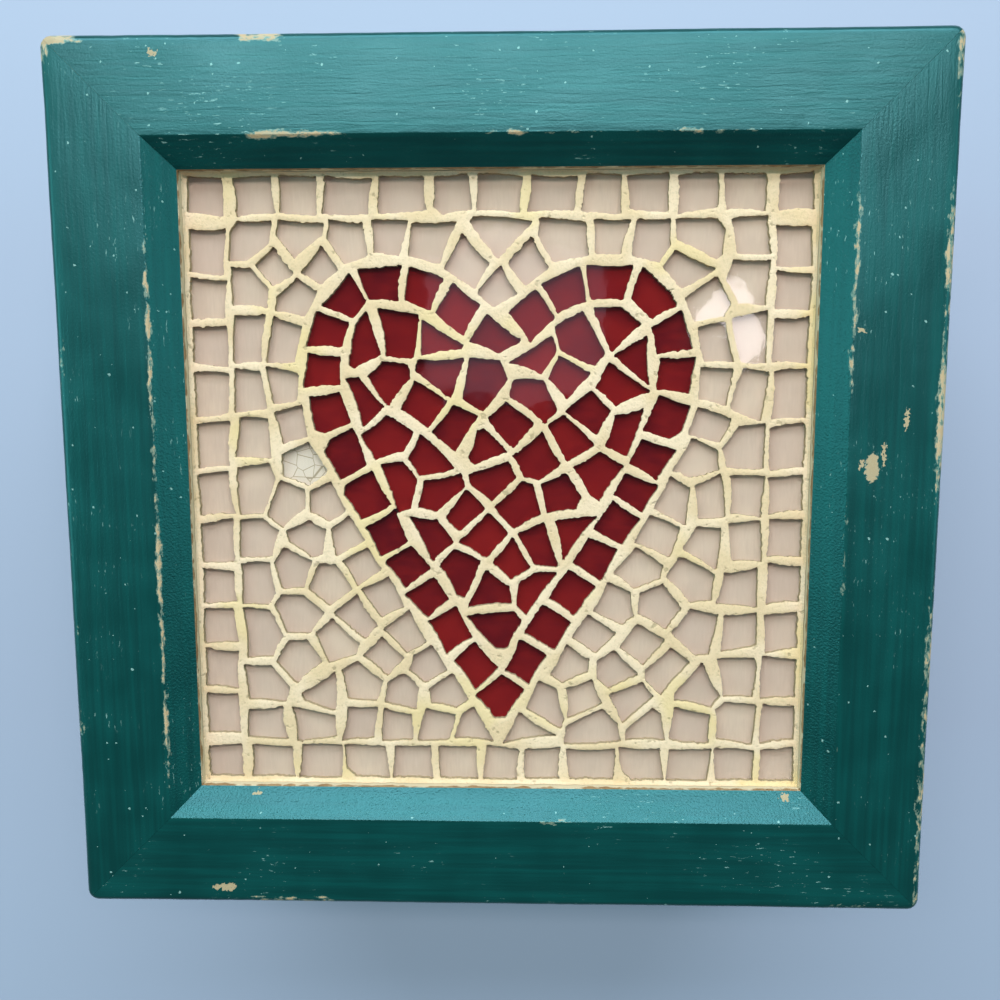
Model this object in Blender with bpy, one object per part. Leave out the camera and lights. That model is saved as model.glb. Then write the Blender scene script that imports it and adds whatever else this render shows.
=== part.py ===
"""A square wooden keepsake box. Its lift-off lid is a moulded frame round a mosaic of nipped glass.

Metres, +Z up. The box stands on its underside, and the origin is under its middle. The heart in the
mosaic points its tip to -Y, the front.
"""

import math
import random

import bmesh
import bpy
from mathutils import Matrix, Vector
from mathutils.geometry import interpolate_bezier

# Lid frame
lid_side = 0.160
rail_face = 0.0172
bevel_run = 0.0049
bevel_drop = 0.0040
raw_lip = 0.0020
lid_corner_radius = 0.0022
lid_arris_radius = 0.0014

# Panel that carries the mosaic, let into the back of the frame
panel_let_in = 0.0045
panel_below_frame = 0.0025
panel_play = 0.0008
mosaic_thickness = 0.0030

# Box under the lid
wall_height = 0.060
lid_overhang = 0.0040
wall_thickness = 0.0090
wall_corner_radius = 0.0018
wall_arris_radius = 0.0008
base_thickness = 0.0050
base_recess = 0.0012
base_let_in = 0.0040

# Clearance that glued or resting faces keep
seam = 0.0003

# Mosaic: the heart's distance from the frame at each side, its tip and its lobes, then the tiles
heart_side_margin = 0.0208
heart_tip_margin = 0.0096
heart_lobe_margin = 0.0154
field_pitch = 0.0076
border_pitch = 0.0089
red_pitch = 0.0077
pocket_depth = 0.0008
narrow_joint = 0.0003
wide_joint = 0.0008
shortest_side = 0.0020
nip_turn = math.radians(8)

# Crooked diagonal rows that the tiles in the middle follow
lattice_turn = math.radians(42)
lattice_crook = 0.0022
lattice_crook_length = 0.041

# How the tiles are laid, with distances as shares of their pitch
layout_seed = 5
relax_rounds = 1
scatter_tries = 3000
cell_reach = 1.2
row_wobble = 0.19
row_apart = 0.76
scatter_apart = 0.80
middle_clear = 0.22
lattice_wobble = 0.15

# How much of a tile its nipped corners take, and where an offset outline folds over itself
least_glass_lost = 0.05
most_glass_lost = 0.12
fewest_corner_count = 3
fold_share = 0.97

heart_point_count = 2
square_corners = ((-1, -1), (1, -1), (1, 1), (-1, 1))
weld_distance = 0.000001

# Levels above the ground
frame_bottom = wall_height + seam
panel_bottom = frame_bottom - panel_below_frame
panel_top = frame_bottom + panel_let_in
mosaic_bottom = panel_top + seam
mosaic_top = mosaic_bottom + mosaic_thickness
bevel_foot = mosaic_top + raw_lip
lid_top = bevel_foot + bevel_drop
base_bottom = base_recess
base_top = base_bottom + base_thickness

# Sizes in plan
rail_width = rail_face + bevel_run
sight_side = lid_side - 2 * rail_width
mosaic_side = sight_side - 2 * seam
body_side = lid_side - 2 * lid_overhang
inner_side = body_side - 2 * wall_thickness
heart_width = mosaic_side - 2 * heart_side_margin
heart_height = mosaic_side - heart_tip_margin - heart_lobe_margin
heart_foot = heart_tip_margin - mosaic_side / 2
panel_side = inner_side - 2 * panel_play
base_side = inner_side + 2 * (base_let_in - seam)

# Timber left on the outer faces until they are planed to the finished outline
allowance = 0.002
round_segments = 3
outline_steps = 24


def clear_scene():
    for old in list(bpy.data.objects):
        bpy.data.objects.remove(old)


def new_collection(name):
    collection = bpy.data.collections.new(name)
    bpy.context.scene.collection.children.link(collection)
    return collection


def new_material(name, colour, roughness):
    material = bpy.data.materials.new(name)
    material.use_nodes = True
    shader = material.node_tree.nodes["Principled BSDF"]
    shader.inputs["Base Color"].default_value = (*colour, 1.0)
    shader.inputs["Roughness"].default_value = roughness
    shader.inputs["Metallic"].default_value = 0.0
    return material


def new_object(name, mesh, collection, material=None):
    made = bpy.data.objects.new(name, mesh)
    collection.objects.link(made)
    if material is not None:
        mesh.materials.append(material)
    return made


def mesh_from(bm, name):
    bmesh.ops.recalc_face_normals(bm, faces=bm.faces)
    mesh = bpy.data.meshes.new(name)
    bm.to_mesh(mesh)
    bm.free()
    return mesh


def block(name, side, bottom, top):
    """A square board centred on the Z axis."""
    bm = bmesh.new()
    bmesh.ops.create_cube(bm, size=1.0)
    bmesh.ops.scale(bm, vec=(side, side, top - bottom), verts=bm.verts)
    bmesh.ops.translate(bm, vec=(0, 0, (bottom + top) / 2), verts=bm.verts)
    return mesh_from(bm, name)


def finished_outline(name, side, bottom, top, corner_radius, arris_radius, cutters):
    """The block that planes a frame's outer faces, with round corners in plan and eased edges."""
    mesh = block(name, side, bottom, top)
    bm = bmesh.new()
    bm.from_mesh(mesh)
    upright = [edge for edge in bm.edges if edge.verts[0].co.z != edge.verts[1].co.z]
    round_edges(bm, upright, corner_radius)
    level = [edge for edge in bm.edges if edge.verts[0].co.z == edge.verts[1].co.z]
    round_edges(bm, level, arris_radius)
    bm.to_mesh(mesh)
    bm.free()
    return as_cutter(new_object(name, mesh, cutters))


def round_edges(bm, edges, radius):
    bmesh.ops.bevel(
        bm, geom=edges, offset=radius, offset_type="OFFSET",
        segments=round_segments, profile=0.5, affect="EDGES", material=-1,
    )


def as_cutter(made):
    made.hide_render = True
    made.display_type = "WIRE"
    return made


def apply_cut(target, cutter, operation):
    cut = target.modifiers.new(cutter.name, "BOOLEAN")
    cut.operation = operation
    cut.object = cutter
    cut.solver = "EXACT"


def mitred_stock(name, profile, side):
    """One side of a square frame, along the front. A profile point is (way in from the outer face, z)."""
    bm = bmesh.new()
    start = [bm.verts.new((-side, way_in - side / 2, z)) for way_in, z in profile]
    face = bm.faces.new(start)
    moved = bmesh.ops.extrude_face_region(bm, geom=[face])["geom"]
    ends = [part for part in moved if isinstance(part, bmesh.types.BMVert)]
    bmesh.ops.translate(bm, vec=(2 * side, 0, 0), verts=ends)
    bmesh.ops.recalc_face_normals(bm, faces=bm.faces)
    for sign in (-1, 1):
        normal = Vector((sign, 1, 0)).normalized()
        cut = bmesh.ops.bisect_plane(
            bm, geom=bm.verts[:] + bm.edges[:] + bm.faces[:],
            plane_co=normal * (-seam / 2), plane_no=normal, clear_outer=True,
        )["geom_cut"]
        rim = [part for part in cut if isinstance(part, bmesh.types.BMEdge)]
        bmesh.ops.holes_fill(bm, edges=rim)
    return mesh_from(bm, name)


def square_frame(names, profile, side, outline, material, collection, holder):
    """Four mitred pieces round a square: front, right, back and left, each a quarter turn on."""
    stock = mitred_stock(names[0], profile, side)
    for quarter, name in enumerate(names):
        piece = new_object(name, stock.copy(), collection, material)
        piece.parent = holder
        piece.rotation_euler.z = quarter * math.pi / 2
        apply_cut(piece, outline, "INTERSECT")


def rail_profile():
    """A moulded rail: a flat face, a bevel down to a raw lip, and a rebate behind for the panel."""
    slope = bevel_run / bevel_drop
    rebate = (lid_side - panel_side) / 2 - seam
    return [
        (-allowance, frame_bottom - allowance),
        (-allowance, lid_top + allowance),
        (rail_face - allowance * slope, lid_top + allowance),
        (rail_width, bevel_foot),
        (rail_width, mosaic_bottom),
        (rebate, mosaic_bottom),
        (rebate, frame_bottom - allowance),
    ]


def wall_profile():
    """A plain wall with a rebate along its foot for the base board."""
    rebate = wall_thickness - base_let_in
    return [
        (-allowance, -allowance),
        (-allowance, wall_height + allowance),
        (wall_thickness, wall_height + allowance),
        (wall_thickness, base_top + seam),
        (rebate, base_top + seam),
        (rebate, -allowance),
    ]


def heart_outline():
    """The middle of the joint round the red tiles, anticlockwise from the tip, as shares of its size."""
    wide = heart_width / 2
    knots = [
        (Vector((0, 0)), Vector((0, 0)), Vector((0.33, 0.21))),
        (Vector((1, 0.765)), Vector((1, 0.57)), Vector((1, 0.90))),
        (Vector((0.58, 1)), Vector((0.845, 1)), Vector((0.265, 1))),
        (Vector((0, 0.89)), Vector((0.21, 0.95)), Vector((0, 0))),
    ]
    right = []
    for (here, _, leaving), (there, arriving, _) in zip(knots, knots[1:]):
        right += interpolate_bezier(here, leaving, arriving, there, outline_steps)[:-1]
    right = [Vector((point.x * wide, heart_foot + point.y * heart_height)) for point in right]
    notch = Vector((0, heart_foot + knots[-1][0].y * heart_height))
    left = [Vector((-point.x, point.y)) for point in reversed(right[1:])]
    return right + [notch] + left


def sides(outline):
    return zip(outline, outline[1:] + outline[:1])


def inward_of(start, end):
    """The unit way in from one side of an anticlockwise outline."""
    along = (end - start).normalized()
    return Vector((-along.y, along.x))


def keep_side(outline, point, inward):
    """The part of a convex outline on the inner side of a line."""
    kept = []
    for start, end in sides(outline):
        near = (start - point).dot(inward)
        far = (end - point).dot(inward)
        if near >= 0:
            kept.append(start)
        if near * far < 0:
            kept.append(start.lerp(end, near / (near - far)))
    return kept


def holds(outline, point, margin):
    """Whether a point lies in a convex outline, at least the margin from its sides."""
    return all(
        (point - start).dot(inward_of(start, end)) > margin for start, end in sides(outline)
    )


def area_of(outline):
    return sum(start.cross(end) for start, end in sides(outline)) / 2


def centre_of(outline):
    total = Vector((0, 0))
    for start, end in sides(outline):
        total += (start + end) * start.cross(end)
    return total / (6 * area_of(outline))


def is_inside_heart(point, heart):
    """Counts the sides of the heart that lie to the right of a point."""
    crossed = False
    for start, end in sides(heart):
        if (start.y > point.y) != (end.y > point.y):
            share = (point.y - start.y) / (end.y - start.y)
            crossed ^= point.x < start.x + share * (end.x - start.x)
    return crossed


def distance_to(point, outline):
    nearest = math.inf
    for start, end in sides(outline):
        along = end - start
        share = min(max((point - start).dot(along) / along.length_squared, 0), 1)
        nearest = min(nearest, (point - start - along * share).length)
    return nearest


def square_outline(side):
    return [Vector(corner) * side / 2 for corner in square_corners]


def edges_of(outline, way):
    """The middle of each side of an outline, with the unit way to the side that is kept."""
    return [(start.lerp(end, 0.5), way * inward_of(start, end)) for start, end in sides(outline)]


def tile_cell(seed, seeds, lines, curves, pitch):
    """All that is nearer to a seed than to the others, cut by straight lines and by curved edges."""
    reach = cell_reach * pitch
    cell = [seed + Vector(corner) * reach for corner in square_corners]
    for other in seeds:
        if 0 < (other - seed).length < 2 * reach:
            cell = keep_side(cell, (seed + other) / 2, (seed - other).normalized())
    for point, inward in lines:
        if (seed - point).dot(inward) > 0:
            cell = keep_side(cell, point, inward)
    near = [edge for edge in curves if (edge[0] - seed).length < 2 * reach]
    for point, inward in sorted(near, key=lambda edge: (edge[0] - seed).length):
        if (seed - point).dot(inward) > 0 and holds(cell, point, narrow_joint / 2):
            cell = keep_side(cell, point, inward)
    return cell


def row_along(outline, pitch, corners, seeded):
    """Seeds along a closed outline at a nearly even pitch, with one exactly on each of its corners."""
    length = sum((end - start).length for start, end in sides(outline))
    each = round(length / pitch / corners)
    step = length / (each * corners)
    marks = [
        step * (index + (seeded.uniform(-row_wobble, row_wobble) if index % each else 0))
        for index in range(each * corners)
    ]
    found = []
    walked = 0
    for start, end in sides(outline):
        span = (end - start).length
        while marks and marks[0] < walked + span:
            found.append(start.lerp(end, (marks.pop(0) - walked) / span))
        walked += span
    return found


def offset_outline(outline, way, off):
    """The outline moved in by a distance. Where it folds over itself, its points are left out."""
    moved = []
    for (before, here), (_, after) in zip(sides(outline[-1:] + outline[:-1]), sides(outline)):
        inward = (inward_of(before, here) + inward_of(here, after)).normalized()
        point = here + inward * off * way
        if distance_to(point, outline) > fold_share * off:
            moved.append(point)
    return moved


def apart(points, others, least):
    """The points that are at least a distance from all of the others."""
    return [point for point in points if all((point - other).length > least for other in others)]


def lattice(taken, pitch, allowed, seeded):
    """Seeds in crooked diagonal rows, where they are allowed and not too near to another."""
    count = math.ceil(mosaic_side / pitch)
    spread = lattice_wobble * pitch
    turn = Matrix.Rotation(lattice_turn, 2)
    found = []
    for row in range(-count, count + 1):
        for column in range(-count, count + 1):
            place = turn @ Vector((row, column)) * pitch
            turn_x = math.tau * place.x / lattice_crook_length
            turn_y = math.tau * place.y / lattice_crook_length
            place += Vector((math.sin(turn_y), math.cos(turn_x))) * lattice_crook
            place += Vector((seeded.uniform(-spread, spread), seeded.uniform(-spread, spread)))
            if allowed(place) and apart([place], taken, row_apart * pitch):
                found.append(place)
    return found


def scattered(taken, pitch, allowed, seeded):
    """Seeds dropped at random where they are allowed and not too near to another."""
    found = []
    for _ in range(scatter_tries):
        point = Vector((seeded.uniform(-0.5, 0.5), seeded.uniform(-0.5, 0.5))) * mosaic_side
        if allowed(point) and apart([point], taken + found, scatter_apart * pitch):
            found.append(point)
    return found


def relax(free, fixed, lines, curves, pitch):
    """Moves each free seed to the middle of its own cell, so that tiles come out more even."""
    for _ in range(relax_rounds):
        seeds = free + fixed
        free = [centre_of(tile_cell(seed, seeds, lines, curves, pitch)) for seed in free]
    return free


def nip(cell, seeded):
    """A tile: each side of its cell is nipped back to a line of its own, and small corners go."""
    tile = cell
    for start, end in sides(cell):
        middle = (start + end) / 2
        inward = inward_of(start, end)
        tile = keep_side(tile, middle + inward * narrow_joint, inward)
        if max(abs(middle.x), abs(middle.y)) > mosaic_side / 2 - seam:
            continue
        turned = Matrix.Rotation(seeded.uniform(-nip_turn, nip_turn), 2) @ inward
        joint = seeded.uniform(narrow_joint, wide_joint)
        tile = keep_side(tile, middle + turned * joint, turned)
    spare = seeded.uniform(least_glass_lost, most_glass_lost) * area_of(tile)
    while len(tile) > fewest_corner_count:
        shortest = min((end - start).length for start, end in sides(tile))
        smaller = without_least_corner(tile)
        if shortest > shortest_side and area_of(tile) - area_of(smaller) > spare:
            break
        tile = smaller
    return tile


def without_least_corner(tile):
    """The tile without the corner that takes the least glass with it."""
    count = len(tile)
    losses = [
        abs((tile[index] - tile[index - 1]).cross(tile[(index + 1) % count] - tile[index - 1]))
        for index in range(count)
    ]
    least = losses.index(min(losses))
    return tile[:least] + tile[least + 1:]


def set_apart(tiles):
    """Cuts tiles that still run into each other back from the line midway between them."""
    for index in range(len(tiles)):
        for other in range(index):
            pair = (tiles[index], tiles[other])
            if run_together(*pair) or run_together(*reversed(pair)):
                here, there = (centre_of(tile) for tile in pair)
                for place, way in ((index, here - there), (other, there - here)):
                    way.normalize()
                    line = (here + there) / 2 + way * narrow_joint
                    tiles[place] = keep_side(tiles[place], line, way)
    return tiles


def run_together(tile, other):
    """Whether a corner of one tile lies in another, or nearer to it than the narrowest joint."""
    return any(holds(tile, corner, -narrow_joint) for corner in other)


def field_hole(heart):
    """The opening in the beige field, a seam wider than the heart all round."""
    return offset_outline(heart, -1, seam)


def lay_field(heart, seeded):
    """Beige tiles: two rows along the frame, one round the heart, and the rest as they fit."""
    hole = edges_of(field_hole(heart), -1)
    frame_line = edges_of(square_outline(mosaic_side), 1)
    first_row_line = square_outline(mosaic_side - 2 * field_pitch)
    first_row = square_outline(mosaic_side - field_pitch)
    first = row_along(first_row, border_pitch, len(first_row), seeded)
    lines = frame_line + edges_of(first_row_line, -1)
    cells = [tile_cell(seed, first, lines, [], border_pitch) for seed in first]

    near = row_apart * field_pitch
    heart_row = offset_outline(heart, -1, field_pitch / 2)
    fixed = apart(row_along(heart_row, field_pitch, heart_point_count, seeded), first, near)
    second_row = square_outline(mosaic_side - (2 + 1) * field_pitch)
    second = row_along(second_row, border_pitch, len(second_row), seeded)
    second = apart(second, fixed, near)
    fixed += [point for point in second if not is_inside_heart(point, heart)]
    most = max(first_row_line[2]) - field_pitch / 2

    def allowed(point):
        return max(abs(point.x), abs(point.y)) < most and not is_inside_heart(point, heart)

    free = lattice(fixed, field_pitch, allowed, seeded)
    free += scattered(fixed + free, field_pitch, allowed, seeded)
    lines = edges_of(first_row_line, 1)
    seeds = fixed + relax(free, fixed, lines, hole, field_pitch)
    cells += [tile_cell(seed, seeds, lines, hole, field_pitch) for seed in seeds]
    return set_apart([nip(cell, seeded) for cell in cells])


def lay_heart(heart, seeded):
    """Red tiles: a row inside the outline, and the rest in crooked diagonal rows."""
    row = row_along(offset_outline(heart, 1, red_pitch / 2), red_pitch, heart_point_count, seeded)
    row_line = offset_outline(heart, 1, red_pitch)
    curves = edges_of(heart, 1) + edges_of(row_line, -1)
    cells = [tile_cell(seed, row, [], curves, red_pitch) for seed in row]
    clear = (1 + middle_clear) * red_pitch

    def allowed(point):
        return is_inside_heart(point, heart) and distance_to(point, heart) > clear

    free = lattice(row, red_pitch, allowed, seeded)
    free += scattered(row + free, red_pitch, allowed, seeded)
    curves = edges_of(row_line, 1)
    free = relax(free, [], [], curves, red_pitch)
    cells += [tile_cell(seed, free, [], curves, red_pitch) for seed in free]
    return set_apart([nip(cell, seeded) for cell in cells])


def flat_solid(name, outlines, bottom, top, collection):
    """A flat solid with the given outlines. An outline inside another is a hole in it."""
    curve = bpy.data.curves.new(name, "CURVE")
    curve.dimensions = "2D"
    curve.fill_mode = "BOTH"
    curve.extrude = (top - bottom) / 2
    for outline in outlines:
        spline = curve.splines.new("POLY")
        spline.points.add(len(outline) - 1)
        for corner, place in zip(spline.points, outline):
            corner.co = (place.x, place.y, 0, 1)
        spline.use_cyclic_u = True
    flat = new_object(name + "_curve", curve, collection)
    flat.location.z = (bottom + top) / 2
    bpy.context.view_layer.update()
    graph = bpy.context.evaluated_depsgraph_get()
    mesh = bpy.data.meshes.new_from_object(flat.evaluated_get(graph))
    bm = bmesh.new()
    bm.from_mesh(mesh)
    bmesh.ops.remove_doubles(bm, verts=bm.verts, dist=weld_distance)
    bmesh.ops.transform(bm, matrix=flat.matrix_world, verts=bm.verts)
    bmesh.ops.recalc_face_normals(bm, faces=bm.faces)
    bm.to_mesh(mesh)
    bm.free()
    bpy.data.objects.remove(flat)
    mesh.name = name
    return new_object(name, mesh, collection)


def mosaic(name, outlines, tiles, material, parts, cutters, holder):
    """A slab of grout with a pocket for each tile. The pocket's floor is the face of the glass."""
    slab = flat_solid(name, outlines, mosaic_bottom, mosaic_top, parts)
    slab.data.materials.append(material)
    slab.parent = holder
    pockets = flat_solid(
        name + "_pockets", tiles, mosaic_top - pocket_depth, mosaic_top + allowance, cutters
    )
    apply_cut(slab, as_cutter(pockets), "DIFFERENCE")


def build():
    clear_scene()
    parts = new_collection("wooden_mosaic_box")
    cutters = new_collection("wooden_mosaic_box_cutters")
    box = new_object("box", None, parts)
    lid = new_object("lid", None, parts)

    green = new_material("green_paint", (0.0, 0.075, 0.050), 0.55)
    pine = new_material("bare_pine", (0.42, 0.27, 0.13), 0.70)
    beige_glass = new_material("beige_glass_and_grout", (0.54, 0.42, 0.32), 0.15)
    red_glass = new_material("red_glass_and_grout", (0.16, 0.006, 0.008), 0.12)

    lid_outline = finished_outline(
        "lid_outline", lid_side, frame_bottom, lid_top, lid_corner_radius, lid_arris_radius, cutters
    )
    rails = ["lid_front_rail", "lid_right_rail", "lid_back_rail", "lid_left_rail"]
    square_frame(rails, rail_profile(), lid_side, lid_outline, green, parts, lid)
    panel = new_object(
        "lid_panel", block("lid_panel", panel_side, panel_bottom, panel_top), parts, pine
    )
    panel.parent = lid

    wall_outline = finished_outline(
        "wall_outline", body_side, 0, wall_height, wall_corner_radius, wall_arris_radius, cutters
    )
    walls = ["box_front_wall", "box_right_wall", "box_back_wall", "box_left_wall"]
    square_frame(walls, wall_profile(), body_side, wall_outline, green, parts, box)
    base = new_object("box_base", block("box_base", base_side, base_bottom, base_top), parts, pine)
    base.parent = box

    seeded = random.Random(layout_seed)
    heart = heart_outline()
    beige = lay_field(heart, seeded)
    red = lay_heart(heart, seeded)
    field = [square_outline(mosaic_side), field_hole(heart)]
    mosaic("beige_mosaic", field, beige, beige_glass, parts, cutters, lid)
    mosaic("red_heart_mosaic", [heart], red, red_glass, parts, cutters, lid)


build()
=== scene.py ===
"""Looks of a wooden keepsake box whose lift-off lid frames a mosaic of nipped glass.

The file follows the box as it is put together: base, walls, lid panel, mosaic, lid frame, and then
the floor, the lights and the camera. Metres, +Z up.
"""

import math
import random

import bmesh
import bpy
import numpy as np
from mathutils import Matrix, Vector, noise


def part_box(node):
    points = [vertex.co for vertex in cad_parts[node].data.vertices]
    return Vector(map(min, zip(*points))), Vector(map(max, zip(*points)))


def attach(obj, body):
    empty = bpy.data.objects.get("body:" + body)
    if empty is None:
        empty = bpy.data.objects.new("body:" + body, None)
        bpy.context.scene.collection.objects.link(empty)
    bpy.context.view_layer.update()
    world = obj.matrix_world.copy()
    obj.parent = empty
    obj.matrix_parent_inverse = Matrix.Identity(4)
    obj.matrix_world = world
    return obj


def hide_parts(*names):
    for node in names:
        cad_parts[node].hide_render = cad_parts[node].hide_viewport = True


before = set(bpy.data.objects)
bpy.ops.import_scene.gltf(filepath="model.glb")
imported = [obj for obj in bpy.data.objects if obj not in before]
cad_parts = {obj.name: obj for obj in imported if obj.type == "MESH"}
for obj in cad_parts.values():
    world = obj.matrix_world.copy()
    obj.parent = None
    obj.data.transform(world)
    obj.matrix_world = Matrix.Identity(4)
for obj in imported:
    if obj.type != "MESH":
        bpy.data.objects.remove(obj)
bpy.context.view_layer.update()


# The base is a thin board of bare pine, planed and left unfinished. It sits in a rebate round the
# foot of the walls. Its material is also the one inside the box and under the lid.
pine_pale = (0.56, 0.38, 0.20, 1)
pine_dark = (0.33, 0.19, 0.085, 1)
pine_ring_scale = 260
pine_stretch = (1, 0.07, 1)
pine_pore_scale = 2600
pine_pore_strength = 0.45
pine_roughness = 0.62
pine_relief = 0.00004


def add(tree, kind, values=(), **settings):
    """Adds a node. A value is linked where it is another node's socket, and set otherwise."""
    made = tree.nodes.new("ShaderNode" + kind)
    for name, value in settings.items():
        setattr(made, name, value)
    for name, value in dict(values).items():
        if isinstance(value, bpy.types.NodeSocket):
            tree.links.new(value, made.inputs[name])
        else:
            made.inputs[name].default_value = value
    return made


def maths(tree, operation, first, second=0.0, third=0.0, clamp=False):
    made = add(tree, "Math", {0: first, 1: second, 2: third}, operation=operation, use_clamp=clamp)
    return made.outputs[0]


def blend(tree, share, first, second):
    """One colour over another, by a mask."""
    made = add(tree, "Mix", {0: share, 6: first, 7: second}, data_type="RGBA")
    return made.outputs[2]


def step(tree, value, low, high):
    """A mask that rises smoothly from 0 to 1 between two values."""
    made = add(
        tree, "MapRange", {"Value": value, "From Min": low, "From Max": high},
        interpolation_type="SMOOTHSTEP",
    )
    return made.outputs["Result"]


def cloud(tree, where, scale, detail=2.0, roughness=0.5, distortion=0.0):
    """Noise from 0 to 1, round 0.5."""
    made = add(tree, "TexNoise", {
        "Vector": where, "Scale": scale, "Detail": detail, "Roughness": roughness,
        "Distortion": distortion,
    })
    return made.outputs["Fac"]


def stretched(tree, where, scale):
    made = add(tree, "VectorMath", {0: where, 1: scale}, operation="MULTIPLY")
    return made.outputs[0]


def new_material(name, roughness):
    material = bpy.data.materials.new(name)
    material.use_nodes = True
    tree = material.node_tree
    shader = tree.nodes["Principled BSDF"]
    shader.inputs["Roughness"].default_value = roughness
    return material, tree, shader


def set_relief(tree, shader, height, depth):
    """Bumps the surface by a height from 0 to 1 that stands for a depth in metres."""
    relief = add(tree, "Bump", {"Height": height, "Distance": depth, "Strength": 1.0})
    tree.links.new(relief.outputs["Normal"], shader.inputs["Normal"])


def new_group(name, inputs, outputs):
    """An empty node group with named sockets, and its own input and output nodes."""
    group = bpy.data.node_groups.new(name, "ShaderNodeTree")
    for socket_name, kind in inputs:
        group.interface.new_socket(socket_name, in_out="INPUT", socket_type=kind)
    for socket_name, kind in outputs:
        group.interface.new_socket(socket_name, in_out="OUTPUT", socket_type=kind)
    entry = group.nodes.new("NodeGroupInput")
    leave = group.nodes.new("NodeGroupOutput")
    return group, entry.outputs, leave.inputs


def use_group(tree, group, values):
    made = tree.nodes.new("ShaderNodeGroup")
    made.node_tree = group
    for name, value in values.items():
        if isinstance(value, bpy.types.NodeSocket):
            tree.links.new(value, made.inputs[name])
        else:
            made.inputs[name].default_value = value
    return made.outputs


def pine_grain():
    """The group that draws pine: rings along one way, and short dark pores."""
    group, entry, leave = new_group(
        "pine_grain", [("Where", "NodeSocketVector")],
        [("Colour", "NodeSocketColor"), ("Height", "NodeSocketFloat")],
    )
    along = stretched(group, entry["Where"], pine_stretch)
    rings = cloud(group, along, pine_ring_scale, detail=3.0, distortion=1.2)
    pores = cloud(group, along, pine_pore_scale, detail=1.0)
    rings = step(group, rings, 0.36, 0.66)
    colour = blend(group, rings, pine_pale, pine_dark)
    dark = maths(group, "MULTIPLY", step(group, pores, 0.58, 0.75), pine_pore_strength)
    colour = blend(group, dark, colour, pine_dark)
    group.links.new(colour, leave["Colour"])
    group.links.new(maths(group, "ADD", rings, pores), leave["Height"])
    return group


pine_group = pine_grain()


def bare_pine(name):
    material, tree, shader = new_material(name, pine_roughness)
    where = add(tree, "TexCoord").outputs["Object"]
    grain = use_group(tree, pine_group, {"Where": where})
    tree.links.new(grain["Colour"], shader.inputs["Base Color"])
    set_relief(tree, shader, grain["Height"], pine_relief)
    return material


pine = bare_pine("bare_pine")


def finish_node(node, material):
    """Gives a CAD node that stays in view its material."""
    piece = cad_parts[node]
    piece.data.materials.clear()
    piece.data.materials.append(material)


finish_node("box_base", pine)


# The walls are four mitred boards, brushed with green paint outside and bare within. The paint is
# worn through to pale wood along the edges, and specked all over from use.
wall_corner_radius = 0.0018
wall_edge_radius = 0.0008
wall_thickness = 0.0090
base_rebate_depth = 0.0040
base_gap = 0.0003
mitre_gap = 0.00002
board_steps = 180
arc_steps = 5
longest_face = 0.0016
least_parts = 4
board_sharp_angle = math.radians(38)
wear_reach = 0.0003
wear_fade = 0.0060
light_wear = 0.35
edge_wander = 0.00012
mitre_calm = 0.012
paint_deep = (0.0001, 0.036, 0.0300, 1)
paint_pale = (0.0004, 0.060, 0.0510, 1)
paint_speck = (0.34, 0.56, 0.50, 1)
worn_wood = (0.52, 0.45, 0.29, 1)
chipped_wood = (0.47, 0.33, 0.17, 1)
worn_edge = (0.30, 0.36, 0.26, 1)
paint_sheen = (0.31, 0.90, 1.0, 1)
paint_shine = 1.0
paint_roughness = 0.34
paint_relief = 0.00013
speck_scale = 620.0
speck_bend = (0.0006, 0.0006, 0.0006)
speck_strength = 0.70


def eased_profile(corners):
    """A closed profile with its corners rounded.

    A corner is (out, z, radius, finish of the next face). Gives (place, wear, finish, corner) for each
    point, with wear 1 on rounded corners and 0 away from them.
    """
    rough = []
    for index, (out, z, radius, finish) in enumerate(corners):
        here = Vector((out, z))
        if radius == 0:
            rough.append((here, 0.0, finish, index))
            continue
        back = (Vector(corners[index - 1][:2]) - here).normalized()
        on = (Vector(corners[(index + 1) % len(corners)][:2]) - here).normalized()
        half = back.angle(on) / 2
        centre = here + (back + on).normalized() * radius / math.sin(half)
        first = here + back * radius / math.tan(half) - centre
        last = here + on * radius / math.tan(half) - centre
        for part in range(arc_steps + 1):
            arm = (first * (arc_steps - part) + last * part).normalized() * radius
            rough.append((centre + arm, 1.0, finish, index))
    points = []
    for this, following in zip(rough, rough[1:] + rough[:1]):
        here, wear, finish, corner = this
        there, next_wear, _, next_corner = following
        points.append(this)
        length = (there - here).length
        parts = math.ceil(length / longest_face)
        if length > 2 * wear_reach:
            parts = max(parts, least_parts)
        for part in range(1, parts):
            way = length * part / parts
            near = max(wear * (1 - way / wear_reach), next_wear * (1 - (length - way) / wear_reach), 0)
            nearer = corner if way < length / 2 else next_corner
            points.append((here.lerp(there, part / parts), near, finish, nearer))
    return points


def wear_at(x, places):
    """How worn an edge is at a place along the board. A place is (start, end, amount)."""
    amount = light_wear
    for start, end, worn in places:
        inside = min(x - start, end - x) / wear_fade
        amount = max(amount, light_wear + (worn - light_wear) * min(max(inside + 0.5, 0), 1))
    return amount


def rounded_in_plan(x, y, out, half_side, radius):
    """Carries a point of a square ring on to the same ring with round corners.

    x runs along the ring's side, and y, which is negative, towards it.
    """
    bend = max(0.0, radius - (half_side - out))
    past = abs(x) - (out - bend)
    if bend == 0 or past <= 0:
        return x, y
    turn = min(past / bend, 1.0) * math.pi / 4
    centre = out - bend
    along, across = centre + bend * math.sin(turn), centre + bend * math.cos(turn)
    return math.copysign(along, x), math.copysign(across, y)


def new_piece(name, mesh, materials):
    piece = bpy.data.objects.new(name, mesh)
    bpy.context.scene.collection.objects.link(piece)
    for material in materials:
        mesh.materials.append(material)
    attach(piece, "root")
    return piece


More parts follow.
